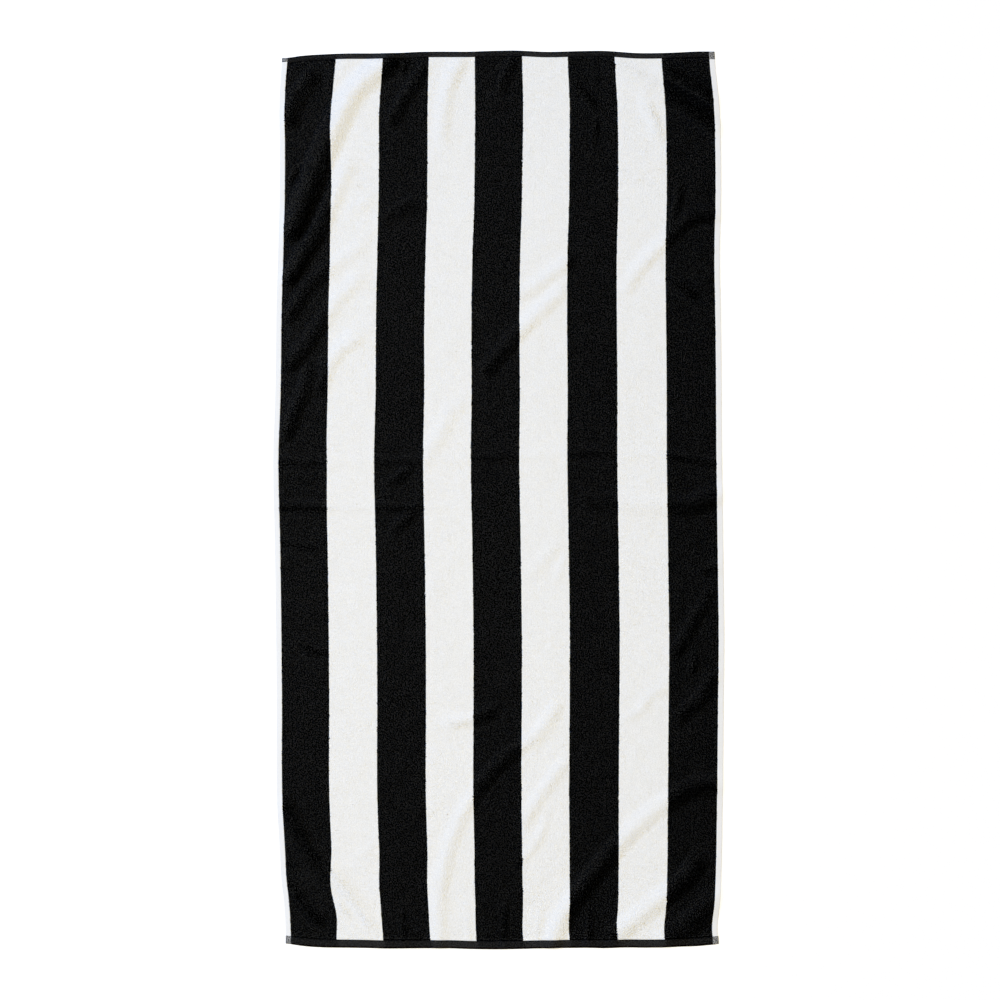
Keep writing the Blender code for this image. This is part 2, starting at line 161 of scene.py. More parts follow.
FOLDS = (
    Fold("left corner", 4.2, 6.2, 18, 28, ((-300, 737), (-327, 708), (-346, 682), (-358, 649),
                                           (-365, 618))),
    Fold("left shoulder", 8.6, 9.4, 28, 30, ((-167, 767), (-195, 740), (-248, 691), (-278, 635),
                                             (-305, 574), (-331, 510), (-365, 429))),
    Fold("shoulder foot", 1.4, 1.4, 20, 26, ((-236, 775), (-258, 745), (-280, 712), (-292, 680))),
    Fold("left edge nick", 2.2, 2.2, 10, 11, ((-336, 569), (-346, 552), (-363, 530))),
    Fold("left second", 1.6, 8.4, 20, 22, ((-249, 591), (-277, 520), (-304, 461), (-337, 410),
                                           (-373, 354))),
    Fold("left third", 1.6, 3.8, 16, 18, ((-214, 452), (-251, 420), (-288, 393), (-326, 358),
                                          (-343, 331), (-370, 295))),
    Fold("left fourth", 2.0, 4.6, 20, 19, ((-216, 391), (-266, 349), (-302, 298), (-341, 246),
                                           (-373, 209))),
    Fold("left fifth", 3.8, 3.0, 24, 18, ((-221, 288), (-271, 253), (-299, 202), (-310, 168))),
    Fold("left sixth", 3.2, 4.2, 18, 18, ((-315, 243), (-324, 205), (-348, 148), (-368, 90))),
    Fold("first ripple", 1.6, 1.6, 14, 15, ((-205, 517), (-234, 500), (-261, 486))),
    Fold("top first", 3.8, 3.2, 16, 18, ((-112, 750), (-146, 703), (-167, 671), (-192, 622))),
    Fold("top pucker", 1.5, 1.2, 9, 9, ((-153, 755), (-160, 737), (-167, 716))),
    Fold("top second", 4.0, 2.2, 22, 16, ((-53, 760), (-79, 718), (-92, 669), (-97, 588))),
    Fold("top middle", 2.6, 1.6, 14, 16, ((33, 760), (13, 723), (4, 701), (-6, 672))),
    Fold("upper ripple", 2.3, 2.6, 16, 22, ((-129, 515), (-162, 496), (-211, 468))),
    Fold("centre wave", 1.6, 2.4, 22, 20, ((-40, 178), (-79, 155), (-97, 117), (-136, 58))),
    Fold("upper short", 2.9, 2.6, 20, 17, ((135, 417), (96, 390), (62, 364), (16, 334))),
    Fold("upper long", 3.2, 3.4, 20, 18, ((121, 369), (86, 337), (62, 314), (16, 265),
                                          (-38, 202))),
    Fold("right upper", 4.0, 2.6, 22, 16, ((395, 481), (324, 476), (282, 439), (234, 388),
                                           (204, 337))),
    Fold("right spur", 1.8, 1.8, 12, 12, ((307, 547), (300, 500), (287, 452))),
    Fold("right corner", 3.6, 5.6, 28, 22, ((175, 742), (248, 703), (327, 659), (395, 608))),
    Fold("right corner rim", 2.2, 3.6, 24, 20, ((261, 742), (324, 703), (395, 655))),
    Fold("right top", 2.6, 2.6, 20, 12, ((241, 696), (263, 635), (277, 594))),
    Fold("top right", 1.6, 1.5, 16, 14, ((119, 710), (143, 686), (172, 654))),
    Fold("top right streak", 0.9, 0.9, 9, 6, ((163, 655), (163, 622), (158, 588))),
    Fold("right dent", 2.2, 2.2, 16, 15, ((285, 375), (314, 356), (341, 336))),
    Fold("crease right", 5.6, 0.8, 24, 22, ((417, 23), (363, 6), (321, -10), (256, -10),
                                            (121, -1))),
    Fold("crease left", 0.8, 1.8, 13, 13, ((-82, -13), (-207, -13), (-420, -11))),
    Fold("upper crease", 0.9, 0.9, 14, 14, ((420, 50), (277, 76), (42, 75), (-214, 64),
                                            (-420, 66))),
    Fold("centre short", 1.8, 1.6, 20, 18, ((109, -59), (72, -103), (42, -138))),
    Fold("centre second", 1.0, 1.2, 12, 10, ((119, -77), (99, -126), (89, -153))),
    Fold("dark fourth", 1.9, 2.2, 14, 15, ((-143, 67), (-163, 45), (-200, 19))),
    Fold("dark short", 2.2, 2.1, 14, 15, ((-133, -8), (-158, -32), (-190, -62))),
    Fold("left nick", 0.8, 0.8, 12, 12, ((-295, -81), (-336, -77), (-400, -65))),
    Fold("left ripple", 1.5, 1.3, 12, 12, ((-283, -253), (-305, -255), (-344, -236))),
    Fold("right nick", 1.4, 1.3, 12, 12, ((390, -110), (351, -118), (331, -125))),
    Fold("right middle", 2.1, 3.2, 17, 16, ((371, -136), (333, -196), (302, -250), (285, -274))),
    Fold("right inner", 1.2, 1.7, 12, 12, ((336, -252), (329, -274), (321, -301))),
    Fold("right lower", 2.6, 3.0, 18, 18, ((371, -279), (341, -333), (287, -377))),
    Fold("right wave", 2.2, 1.6, 13, 13, ((294, -318), (265, -323), (226, -363), (196, -375))),
    Fold("lower long", 3.0, 3.1, 19, 19, ((108, -329), (64, -395), (21, -427), (-41, -493),
                                          (-78, -565), (-99, -644), (-102, -783))),
    Fold("lower short", 1.8, 4.2, 16, 16, ((8, -348), (-23, -361), (-60, -372), (-105, -376))),
    Fold("lower second", 2.9, 2.9, 17, 19, ((124, -429), (79, -482), (50, -529), (31, -561))),
    Fold("lower third", 1.5, 1.9, 14, 12, ((84, -522), (67, -570), (40, -605), (18, -627))),
    Fold("right long", 3.6, 5.4, 23, 23, ((417, -482), (327, -487), (258, -527), (202, -581),
                                          (153, -641), (104, -707), (80, -783))),
    Fold("right low", 3.8, 5.4, 23, 24, ((351, -590), (309, -644), (255, -686), (179, -752))),
    Fold("right end", 4.6, 3.6, 26, 32, ((399, -644), (351, -685), (311, -719), (256, -762))),
    Fold("left low", 5.4, 0.6, 28, 22, ((-376, -492), (-343, -563), (-309, -617), (-260, -661),
                                        (-231, -698))),
    Fold("left low end", 2.8, 2.4, 13, 20, ((-297, -603), (-280, -630), (-260, -660),
                                            (-243, -686), (-224, -714), (-209, -738))),
    Fold("left end", 2.2, 3.2, 14, 19, ((-368, -631), (-343, -666), (-312, -707), (-295, -729))),
    Fold("left waist", 0.9, 0.9, 13, 12, ((-205, -573), (-224, -590), (-248, -605))),
    Fold("corner tuck", 2.0, 1.8, 10, 10, ((-280, -669), (-265, -693), (-248, -713))),
    Fold("bottom pucker 1", 0.9, 1.3, 9, 9, ((-165, -675), (-163, -712), (-165, -779))),
    Fold("bottom pucker 2", 0.8, 1.2, 9, 9, ((-55, -671), (-53, -712), (-53, -779))),
    Fold("bottom pucker 3", 0.9, 1.3, 9, 9, ((9, -668), (8, -703), (6, -779))),
    Fold("bottom pucker 4", 1.0, 1.6, 9, 9, ((70, -678), (65, -712), (64, -779))),
    Fold("bottom pucker 5", 1.0, 1.6, 9, 9, ((155, -678), (152, -712), (148, -779))),
)

# The rumple of washed cloth, all over it: how high it is, the size of its waves
# across and along its own lie, and how that lie turns, in degrees.
Rumple = namedtuple("Rumple", "height across along turn")

RUMPLES = (
    Rumple(0.65, 60, 26, 38),
    Rumple(0.38, 26, 13, 42),
    Rumple(0.20, 11, 34, 0),
)
RUMPLE_SEED = 41

# ---- the make of the cloth ---------------------------------------------------

GROUND_THICKNESS = 1.7       # weave and the loops of the back face
SIDE_HEM_THICKNESS = 1.7
END_HEM_THICKNESS = 2.3

# Across a hem, at places from its outer edge: its height as a share of its
# thickness, and its tone as a share of its yarn's.  A side hem slopes down to its
# outer edge, and an end hem is rolled there, with a sewn channel beside the pile.
# The tone column is mostly painted shade.  A side hem is a little darker at its sloped
# outer edge: painted shade.  An end hem is darker at its rolled edge: partly painted
# shade of the roll, partly the yarn's own darker edge.  It is darker again at the sewn
# channel: painted shadow of the pile.
Form = namedtuple("Form", "at height tone")

SIDE_HEM_FORM = (
    Form(0.0, 0.30, 0.97), Form(0.5, 0.52, 1.0), Form(1.3, 0.66, 1.0), Form(2.6, 0.78, 1.0),
    Form(4.4, 0.90, 1.0), Form(6.4, 1.00, 1.0), Form(7.6, 1.06, 1.0), Form(8.8, 1.10, 1.0),
    Form(10.0, 1.02, 1.0),
)
END_HEM_FORM = (
    Form(0.0, 0.30, 0.55), Form(0.6, 0.75, 0.62), Form(1.5, 1.04, 0.86), Form(2.6, 1.08, 1.0),
    Form(4.2, 1.00, 1.0), Form(5.8, 0.98, 1.0), Form(7.0, 0.94, 1.0), Form(8.0, 0.80, 0.95),
    Form(9.0, 0.80, 0.85),
)
HEM_ON_BLACK = 0.90          # tone of an end hem beside the black pile, and the white
HEM_ON_WHITE = 1.10
RIGHT_TOP_CORNER = 13.4      # how far the grey corners go down the side hems
LEFT_TOP_CORNER = 7.2
CELL = 6.4                   # of the ground's lattice between the hems

TUFT_ACROSS = 2.3            # pitch of the loops across and along the cloth
TUFT_ALONG = 2.45
TUFT_SIDES = 3
TUFT_JITTER = 0.35           # of a pitch
TUFT_SIZES = (0.8, 1.2)      # smallest and largest, as a share of the radius
TUFT_FLATNESS = (0.75, 1.1)  # a tuft's width as a share of its length
TUFT_WELD = 0.001            # of a tuft, between corners that are merged
PILE_MARGIN = 1.3            # from the pile's first row to an end hem
BORDER_SWAY = 0.8            # of a stripe's outermost column
BORDER_RUN = 3               # loops of that column that sway together
PILE_SEED = 7

# A tuft's radius, how far its root is sunk in the ground and its tip stands out of
# it, how unlike its neighbours it is in its lean, its height and its tone, and how
# unlike one column of tufts is to the next in tone.
Pile = namedtuple("Pile", "shade radius root tip lean height tone column")

BLACK_LOOPS = Pile("black", 2.7, 0.15, 0.34, 0.08, 0.25, 0.16, 0.05)
WHITE_LOOPS = Pile("white", 1.9, 0.8, 1.2, 0.30, 0.18, 0.12, 0.10)

# ---- the finishes ------------------------------------------------------------

# Each yarn: its darkest and its lightest tone, how rough, downy and glossy it is,
# and how strongly its fibres or its weave show in the bump.
Yarn = namedtuple("Yarn", "name dark light roughness sheen gloss bump")

BLACK_PILE = Yarn("Black pile", (0.0086, 0.0086, 0.0086), (0.0144, 0.0144, 0.0144),
                  0.60, 0.0, 0.45, 0.15)
WHITE_PILE = Yarn("White pile", (0.85, 0.85, 0.845), (0.91, 0.91, 0.905), 0.95, 0.10, 0.2, 0.6)
BLACK_GROUND = Yarn("Black ground", (0.0215, 0.0215, 0.0215), (0.0262, 0.0262, 0.0262),
                    0.9, 0.0, 0.0, 0.8)
# The white ground is darker than the white pile of the same yarn.  This is painted shade of the
# gaps between the loops.
WHITE_GROUND = Yarn("White ground", (0.76, 0.76, 0.755), (0.84, 0.84, 0.835),
                    0.95, 0.0, 0.1, 0.8)
SIDE_YARN = Yarn("White side weave", (0.87, 0.87, 0.87), (0.95, 0.95, 0.95), 0.9, 0.05, 0.2, 0.7)
END_YARN = Yarn("Charcoal end weave", (0.0205, 0.0202, 0.0200), (0.0600, 0.0592, 0.0585),
                0.9, 0.02, 0.1, 0.7)
CORNER_YARN = Yarn("Grey corner weave", (0.07, 0.07, 0.07), (0.51, 0.51, 0.51),
                   0.9, 0.05, 0.2, 0.7)
BLACK_THREAD = Yarn("Black thread", (0.028, 0.028, 0.028), (0.040, 0.040, 0.040),
                    0.8, 0.02, 0.1, 0.6)
WHITE_THREAD = Yarn("White thread", (0.80, 0.80, 0.79), (0.92, 0.92, 0.91), 0.8, 0.05, 0.2, 0.6)

# Each flat weave: its yarn, the scale of its speckle, the pitch of its threads in
# millimetres, and how strong the speckle is.
Weave = namedtuple("Weave", "yarn speckle pitch contrast")

SIDE_WEAVE = Weave(SIDE_YARN, 400.0, 1.1, 1.5)
END_WEAVE = Weave(END_YARN, 500.0, 1.1, 2.6)
CORNER_WEAVE = Weave(CORNER_YARN, 480.0, 1.3, 4.0)

# The textures of the yarns: scales are for places in metres, and a share is of the
# way from a yarn's dark tone to its light one.
PILE_FIBRES = 1300.0
PILE_FIBRE_SHARE = 0.4
PILE_FIBRE_HEIGHT = 0.35 * MM
MOTTLE = 55.0
MOTTLE_DETAIL = 3.0
MOTTLE_SHARE = 0.5
SHEEN_ROUGHNESS = 0.6
GROUND_LOOPS = 430.0
GROUND_FIBRES = 1500.0
GROUND_FIBRE_RISE = 0.3      # of the height of a loop of the ground
GROUND_LOOP_HEIGHT = 0.9 * MM
SPECKLE_DETAIL = 3.0
SPECKLE_ROUGHNESS = 0.65
THREAD_SHARE = 0.45          # of the warp and weft threads' tone
THREAD_START = -0.2
WEAVE_MIDDLE = 0.45
THREAD_WANDER = 0.6
THREAD_HEIGHT = 0.35 * MM
WAVE_RADIANS = 20.0          # that a wave texture turns through in a metre at scale 1


def look_down():
    """Put the camera straight above the towel at the photograph's scale."""
    lens = bpy.data.cameras.new("Overhead camera")
    lens.sensor_width = SENSOR_WIDTH
    lens.lens = SENSOR_WIDTH * CAMERA_HEIGHT / (PIXEL * PICTURE_SIDE)
    camera = bpy.data.objects.new("Overhead camera", lens)
    camera.location = (CAMERA_X, CAMERA_Y, CAMERA_HEIGHT)
    bpy.context.scene.collection.objects.link(camera)
    bpy.context.scene.camera = camera


def set_print():
    """Give the picture the contrast of the photograph."""
    settings = bpy.context.scene.view_settings
    settings.view_transform = "Standard"
    settings.use_curve_mapping = True
    mapping = settings.curve_mapping
    mapping.black_level = (BLACK_POINT, BLACK_POINT, BLACK_POINT)
    mapping.clip_max_x = PRINT_CURVE[-1][0]
    curve = mapping.curves[ALL_COLOURS]
    first, *middle, last = PRINT_CURVE
    curve.points[0].location = first
    curve.points[1].location = last
    for spot in middle:
        curve.points.new(*spot).handle_type = "AUTO_CLAMPED"
    mapping.update()


# ---- materials ---------------------------------------------------------------

def new_material(name):
    """An empty matt material and its shader."""
    material = bpy.data.materials.new(name)
    material.use_nodes = True
    shader = material.node_tree.nodes["Principled BSDF"]
    shader.inputs["Metallic"].default_value = 0.0
    return material, shader


def add_node(material, kind, **values):
    """A node with its sockets set by name, spaces written as underscores."""
    node = material.node_tree.nodes.new(kind)
    for name, value in values.items():
        node.inputs[name.replace("_", " ")].default_value = value
    return node


def join(material, start, end):
    material.node_tree.links.new(start, end)


def blend_nodes(material, first, second, share, mode="MIX"):
    """Mix two colours, which may be sockets or plain colours."""
    mix = material.node_tree.nodes.new("ShaderNodeMix")
    mix.data_type = "RGBA"
    mix.blend_type = mode
    places = (("A", first), ("B", second))
    sockets = {socket.identifier: socket for socket in mix.inputs}
    for letter, value in places:
        socket = sockets[f"{letter}_Color"]
        if isinstance(value, tuple):
            socket.default_value = (*value, 1.0)
        else:
            join(material, value, socket)
    factor = sockets["Factor_Float"]
    if isinstance(share, float):
        factor.default_value = share
    else:
        join(material, share, factor)
    outputs = {socket.identifier: socket for socket in mix.outputs}
    return outputs["Result_Color"]


def calculate(material, operation, first, second, third=None):
    """A math node on sockets or numbers."""
    node = material.node_tree.nodes.new("ShaderNodeMath")
    node.operation = operation
    for socket, value in zip(node.inputs, (first, second, third)):
        if value is None:
            continue
        if isinstance(value, (int, float)):
            socket.default_value = value
        else:
            join(material, value, socket)
    return node.outputs[0]


def cloth_places(material):
    """Places on the flat cloth, in metres, from its own map."""
    lie = material.node_tree.nodes.new("ShaderNodeUVMap")
    lie.uv_map = "cloth"
    scale = add_node(material, "ShaderNodeMapping", Scale=(CLOTH_WIDTH * MM, LENGTH * MM, 1.0))
    join(material, lie.outputs["UV"], scale.inputs["Vector"])
    return scale.outputs["Vector"]


def noise(material, places, scale, detail=2.0, roughness=0.5):
    node = add_node(material, "ShaderNodeTexNoise", Scale=scale, Detail=detail,
                    Roughness=roughness)
    join(material, places, node.inputs["Vector"])
    return node.outputs["Fac"]


def add_bump(material, shader, height, distance, strength):
    bump = add_node(material, "ShaderNodeBump", Distance=distance, Strength=strength)
    join(material, height, bump.inputs["Height"])
    join(material, bump.outputs["Normal"], shader.inputs["Normal"])


def pile_material(yarn):
    """Looped cotton: each tuft a little lighter or darker, fibres in the bump."""
    material, shader = new_material(yarn.name)
    places = cloth_places(material)
    tone = add_node(material, "ShaderNodeAttribute")
    tone.attribute_name = "tone"
    mottle = noise(material, places, MOTTLE, MOTTLE_DETAIL)
    fibres = noise(material, places, PILE_FIBRES)
    share = calculate(material, "MULTIPLY_ADD", mottle, MOTTLE_SHARE, -MOTTLE_SHARE / 2)
    share = calculate(material, "ADD", share, tone.outputs["Fac"])
    share = calculate(material, "MULTIPLY_ADD", fibres, PILE_FIBRE_SHARE, share)
    share = calculate(material, "SUBTRACT", share, PILE_FIBRE_SHARE / 2)
    colour = blend_nodes(material, yarn.dark, yarn.light, share)
    join(material, colour, shader.inputs["Base Color"])
    shader.inputs["Roughness"].default_value = yarn.roughness
    shader.inputs["Specular IOR Level"].default_value = yarn.gloss
    shader.inputs["Sheen Weight"].default_value = yarn.sheen
    shader.inputs["Sheen Roughness"].default_value = SHEEN_ROUGHNESS
    add_bump(material, shader, fibres, PILE_FIBRE_HEIGHT, yarn.bump)
    return material


def ground_material(yarn):
    """The woven ground under the loops, and the loops of the back face.

    Each loop is lighter at its top and darker in the hollows between the loops, which is
    painted shade.
    """
    material, shader = new_material(yarn.name)
    places = cloth_places(material)
    loops = add_node(material, "ShaderNodeTexVoronoi", Scale=GROUND_LOOPS)
    join(material, places, loops.inputs["Vector"])
    fibres = noise(material, places, GROUND_FIBRES)
    rise = calculate(material, "MULTIPLY_ADD", loops.outputs["Distance"], -1.0, 1.0)
    # The colour follows the loops' rise, so the hollows between them get painted shade.
    colour = blend_nodes(material, yarn.dark, yarn.light, rise)
    join(material, colour, shader.inputs["Base Color"])
    shader.inputs["Roughness"].default_value = yarn.roughness
    shader.inputs["Specular IOR Level"].default_value = yarn.gloss
    shader.inputs["Sheen Weight"].default_value = yarn.sheen
    height = calculate(material, "MULTIPLY_ADD", fibres, GROUND_FIBRE_RISE, rise)
    add_bump(material, shader, height, GROUND_LOOP_HEIGHT, yarn.bump)
    return material


def weave_material(weave):
    """Flat weave: warp over weft at a pitch, with the yarns' uneven tone."""
    yarn = weave.yarn
    material, shader = new_material(yarn.name)
    places = cloth_places(material)
    frequency = math.tau / (weave.pitch * MM) / WAVE_RADIANS
    bands = []
    for direction in ("X", "Y"):
        wave = add_node(material, "ShaderNodeTexWave", Scale=frequency,
                        Distortion=THREAD_WANDER, Detail=1.0)
        wave.bands_direction = direction
        join(material, places, wave.inputs["Vector"])
        bands.append(wave.outputs["Fac"])
    threads = calculate(material, "MULTIPLY", *bands)
    patches = noise(material, places, weave.speckle, SPECKLE_DETAIL, SPECKLE_ROUGHNESS)
    share = calculate(material, "MULTIPLY_ADD", threads, THREAD_SHARE, THREAD_START)
    share = calculate(material, "MULTIPLY_ADD", patches, weave.contrast, share)
    share = calculate(material, "ADD", share, WEAVE_MIDDLE - weave.contrast / 2)
    clamp = add_node(material, "ShaderNodeClamp")
    join(material, share, clamp.inputs["Value"])
    colour = blend_nodes(material, yarn.dark, yarn.light, clamp.outputs["Result"])
    # Multiplying by the hems' tone adds painted shade at their edges and painted shadow of the
    # pile at the end hems' sewn channels, along with the end hems' own tone under each stripe.
    tone = add_node(material, "ShaderNodeAttribute")
    tone.attribute_name = "tone"
    colour = blend_nodes(material, colour, tone.outputs["Color"], 1.0, "MULTIPLY")
    join(material, colour, shader.inputs["Base Color"])
    shader.inputs["Roughness"].default_value = yarn.roughness
    shader.inputs["Specular IOR Level"].default_value = yarn.gloss
    shader.inputs["Sheen Weight"].default_value = yarn.sheen
    add_bump(material, shader, threads, THREAD_HEIGHT, yarn.bump)
    return material


# ---- the laid form -----------------------------------------------------------

CLOTH_WIDTH = LEFT_HEM + sum(STRIPES) + RIGHT_HEM
STRIPE_EDGES = LEFT_HEM + np.concatenate(([0.0], np.cumsum(STRIPES)))


def curve_between(part, span, start, end, leave, arrive):
    """A cubic over a span that leaves start and reaches end at the given slopes."""
    rest = 1.0 - part
    return (rest ** 2 * (1 + 2 * part) * start + part ** 2 * (1 + 2 * rest) * end
            + part * rest ** 2 * span * leave - part ** 2 * rest * span * arrive)


def read_curve(at, depth, places):
    """A smooth curve through depths at known places, read at other places."""
    at = np.array(at, float)
    depth = np.array(depth, float)
    slope = np.gradient(depth, at)
    index = np.clip(np.searchsorted(at, places) - 1, 0, len(at) - 2)
    span = at[index + 1] - at[index]
    part = np.clip((places - at[index]) / span, 0.0, 1.0)
    return curve_between(part, span, depth[index], depth[index + 1],
                         slope[index], slope[index + 1])


def push_aside(x, y):
    """Move places of the cloth sideways with its pushes."""
    for push in PUSHES:
        share = 1.0 - smooth_step(np.abs(x - push.x) / push.reach_x)
        share = share * (1.0 - smooth_step(np.abs(y - push.y) / push.reach_y))
        x = x + push.aside * share
    return x


def lay_out(across, along):
    """Lay places on the flat cloth, in mm from its lower left corner, to their x and y."""
    flat_x = (across / CLOTH_WIDTH - 0.5) * WIDTH
    low = -LENGTH / 2 + read_curve(*zip(*BOTTOM_EDGE), flat_x)
    high = LENGTH / 2 - read_curve(*zip(*TOP_EDGE), flat_x)
    y = low + along / LENGTH * (high - low)
    left = -WIDTH / 2 + read_curve(*zip(*LEFT_EDGE), y)
    right = WIDTH / 2 - read_curve(*zip(*RIGHT_EDGE), y)
    return push_aside(left + across / CLOTH_WIDTH * (right - left), y), y


def crest_course(points):
    """A smooth course through a crest's points."""
    knots = np.array(points, float)
    lengths = np.hypot(*np.diff(knots, axis=0).T)
    place = np.concatenate(([0.0], np.cumsum(lengths)))
    slope = np.gradient(knots, place, axis=0)
    part = np.linspace(0.0, 1.0, CREST_STEPS, endpoint=False)[:, None]
    course = [curve_between(part, length, knots[index], knots[index + 1],
                            slope[index], slope[index + 1])
              for index, length in enumerate(lengths)]
    return np.vstack([*course, knots[-1:]])


def nearest_on_course(course, x, y):
    """Signed distance to a course, left of it positive, and the place along it."""
    starts = course[:-1]
    steps = np.diff(course, axis=0)
    lengths = np.hypot(*steps.T)
    offset_x = x[:, None] - starts[:, 0]
    offset_y = y[:, None] - starts[:, 1]
    run = (offset_x * steps[:, 0] + offset_y * steps[:, 1]) / lengths ** 2
    run = np.clip(run, 0.0, 1.0)
    apart = np.hypot(offset_x - run * steps[:, 0], offset_y - run * steps[:, 1])
    pick = apart.argmin(axis=1)
    rows = np.arange(len(x))
    turn = steps[pick, 0] * offset_y[rows, pick] - steps[pick, 1] * offset_x[rows, pick]
    before = np.concatenate(([0.0], np.cumsum(lengths)[:-1]))
    place = before[pick] + run[rows, pick] * lengths[pick]
    return np.copysign(apart[rows, pick], turn), place, lengths.sum()


def smooth_step(value):
    """Rise smoothly from 0 to 1."""
    value = np.clip(value, 0.0, 1.0)
    return value * value * (3.0 - 2.0 * value)


def add_fold(fold, x, y, lift):
    """Lift the places near one fold."""
    course = crest_course(fold.crest)
    reach = max(fold.right, fold.left)
    low = course.min(axis=0) - reach
    high = course.max(axis=0) + reach
    near = np.flatnonzero((x > low[0]) & (x < high[0]) & (y > low[1]) & (y < high[1]))
    if not len(near):
        return
    apart, place, length = nearest_on_course(course, x[near], y[near])
    apart = apart - CREST_ASIDE
    spread = np.where(apart > 0.0, fold.left, fold.right)
    flank = 1.0 - smooth_step(np.abs(apart) / spread)
    taper = min(FOLD_TAPER, SHORT_TAPER * length)
    ends = smooth_step(place / taper) * smooth_step((length - place) / taper)
    rise = fold.start + (fold.end - fold.start) * place / length
    lift[near] += rise * flank * ends


def soft_noise(x, y, rumple, seed):
    """Smooth seeded waves from 0 to 1."""
    turn = math.radians(rumple.turn)
    run = (x * math.cos(turn) + y * math.sin(turn)) / rumple.across
    rise = (y * math.cos(turn) - x * math.sin(turn)) / rumple.along
    side = int(2 * LENGTH / min(rumple.across, rumple.along))
    table = np.random.default_rng(seed).random((side, side))
    column = np.floor(run).astype(int)
    row = np.floor(rise).astype(int)
    share_x = smooth_step(run - column)
    share_y = smooth_step(rise - row)
    value = 0.0
    for step_x, part_x in ((0, 1.0 - share_x), (1, share_x)):
        for step_y, part_y in ((0, 1.0 - share_y), (1, share_y)):
            value = value + part_x * part_y * table[(row + step_y) % side,
                                                    (column + step_x) % side]
    return value


def cloth_lift(x, y):
    """How high the underside of the cloth stands off the surface."""
    lift = np.zeros(len(x))
    for fold in FOLDS:
        add_fold(fold, x, y, lift)
    for index, rumple in enumerate(RUMPLES):
        lift += rumple.height * soft_noise(x, y, rumple, RUMPLE_SEED + index)
    return lift


# ---- the ground --------------------------------------------------------------

def hem_lines(form, width):
    """Lattice places over a hem, from its outer edge up to its inner one."""
    return [row.at * width / form[-1].at for row in form[:-1]]


def cloth_lines():
    """Lattice places across and along the flat cloth."""
    across = hem_lines(SIDE_HEM_FORM, LEFT_HEM)
    for start, end in zip(STRIPE_EDGES[:-1], STRIPE_EDGES[1:]):
        count = round((end - start) / CELL)
        across += list(np.linspace(start, end, count, endpoint=False))
    across.append(STRIPE_EDGES[-1])
    across += [CLOTH_WIDTH - place for place in reversed(hem_lines(SIDE_HEM_FORM, RIGHT_HEM))]
    along = hem_lines(END_HEM_FORM, BOTTOM_HEM)
    high = LENGTH - RIGHT_TOP_CORNER
    along += list(np.linspace(BOTTOM_HEM, high, round((high - BOTTOM_HEM) / CELL) + 1))
    along.append(LENGTH - TOP_HEM)
    along += [LENGTH - place for place in reversed(hem_lines(END_HEM_FORM, TOP_HEM))]
    return np.array(across), np.array(along)


def read_form(form, column, width, distance):
    """A hem's height or tone at a distance from its edge."""
    at = [row.at * width / form[-1].at for row in form]
    return read_curve(at, [getattr(row, column) for row in form], distance)


def cloth_thickness(across, along):
    """Thickness of the ground and the hems, in mm."""
    thick = np.full(len(across), GROUND_THICKNESS)
    sides = ((across, LEFT_HEM), (CLOTH_WIDTH - across, RIGHT_HEM))
    for distance, width in sides:
        inside = distance < width
        height = read_form(SIDE_HEM_FORM, "height", width, distance[inside])
        thick[inside] = SIDE_HEM_THICKNESS * height
    ends = ((along, BOTTOM_HEM), (LENGTH - along, TOP_HEM))
    for distance, width in ends:
        inside = distance < width
        height = read_form(END_HEM_FORM, "height", width, distance[inside])
        side = np.minimum(1.0, thick[inside] / GROUND_THICKNESS)
        thick[inside] = END_HEM_THICKNESS * height * side
    return thick


def cloth_tone(across, along):
    """How much darker the hems are along their edges and seams.

    This is painted shade at the sloped and rolled edges, partly the end yarn's own darker
    edge, and painted shadow of the pile at the sewn channels.  The end hems also carry
    their own tone under each stripe.
    """
    tone = np.ones(len(across))
    for distance, width in ((across, LEFT_HEM), (CLOTH_WIDTH - across, RIGHT_HEM)):
        inside = distance < width
        tone[inside] = read_form(SIDE_HEM_FORM, "tone", width, distance[inside])
    column = np.searchsorted(STRIPE_EDGES, across)
    beside = (column == 0) | (column == len(STRIPE_EDGES))
    stripe = np.where(column % 2 == 1, HEM_ON_BLACK, HEM_ON_WHITE)
    for distance, width in ((along, BOTTOM_HEM), (LENGTH - along, TOP_HEM)):
        inside = (distance <= width) & ~beside
        form_tone = read_form(END_HEM_FORM, "tone", width, distance[inside])
        tone[inside] = form_tone * stripe[inside]
    return tone


GROUND_FINISHES = ("black ground", "white ground", "side weave", "end weave", "corner weave")


def finish_index(across, along):
    """Which finish the ground has at places on the flat cloth."""
    column = np.searchsorted(STRIPE_EDGES, across)
    beside = (column == 0) | (column == len(STRIPE_EDGES))
    index = np.where(column % 2 == 1, 0, 1)
    index[beside] = GROUND_FINISHES.index("side weave")
    end = (along < BOTTOM_HEM) | (along > LENGTH - TOP_HEM)
    index[end & ~beside] = GROUND_FINISHES.index("end weave")
    top_corner = np.where(column == 0, LEFT_TOP_CORNER, RIGHT_TOP_CORNER)
    corner = (along < BOTTOM_HEM) | (along > LENGTH - top_corner)
    index[corner & beside] = GROUND_FINISHES.index("corner weave")
    return index


# Puts the faces of the lattice in order of layer, column and row, because the rim
# that solidify makes comes in another order each time.
FACE_ORDER = Vector((1e3, 1.0, 1e6))


